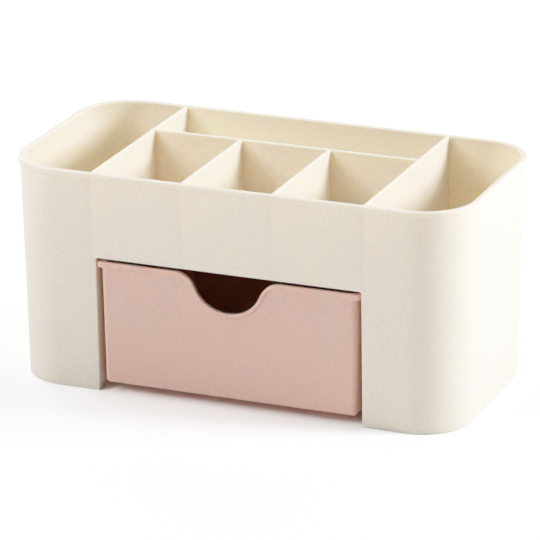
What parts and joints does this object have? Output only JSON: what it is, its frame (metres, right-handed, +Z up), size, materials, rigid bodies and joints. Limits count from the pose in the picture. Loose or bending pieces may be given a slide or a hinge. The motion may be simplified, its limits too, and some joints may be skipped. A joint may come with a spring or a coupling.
{
  "type": "desktop organiser with drawer",
  "caption": "Open-topped moulded desktop organiser with deep end bays, small middle bays and a pull-out drawer hung on rails below them",
  "frame": {"origin": "on the table, under the middle of the rim", "axes": "+X to the right across the width, +Y to the back, the drawer opens towards -Y, +Z up"},
  "size_m": [0.22, 0.112, 0.1045],
  "materials": {
    "cream_plastic": "fine satin moulded polypropylene, warm cream, slightly translucent at thin edges",
    "pink_plastic": "fine satin moulded polypropylene, dusty pink"
  },
  "bodies": {
    "housing": {"organizer_body": "cream_plastic"},
    "drawer": {"drawer": "pink_plastic"}
  },
  "joints": [
    {"name": "drawer_slide", "type": "slide", "parent": "housing", "child": "drawer", "axis": [0, -1, 0], "range_m": [0, 0.08]}
  ]
}
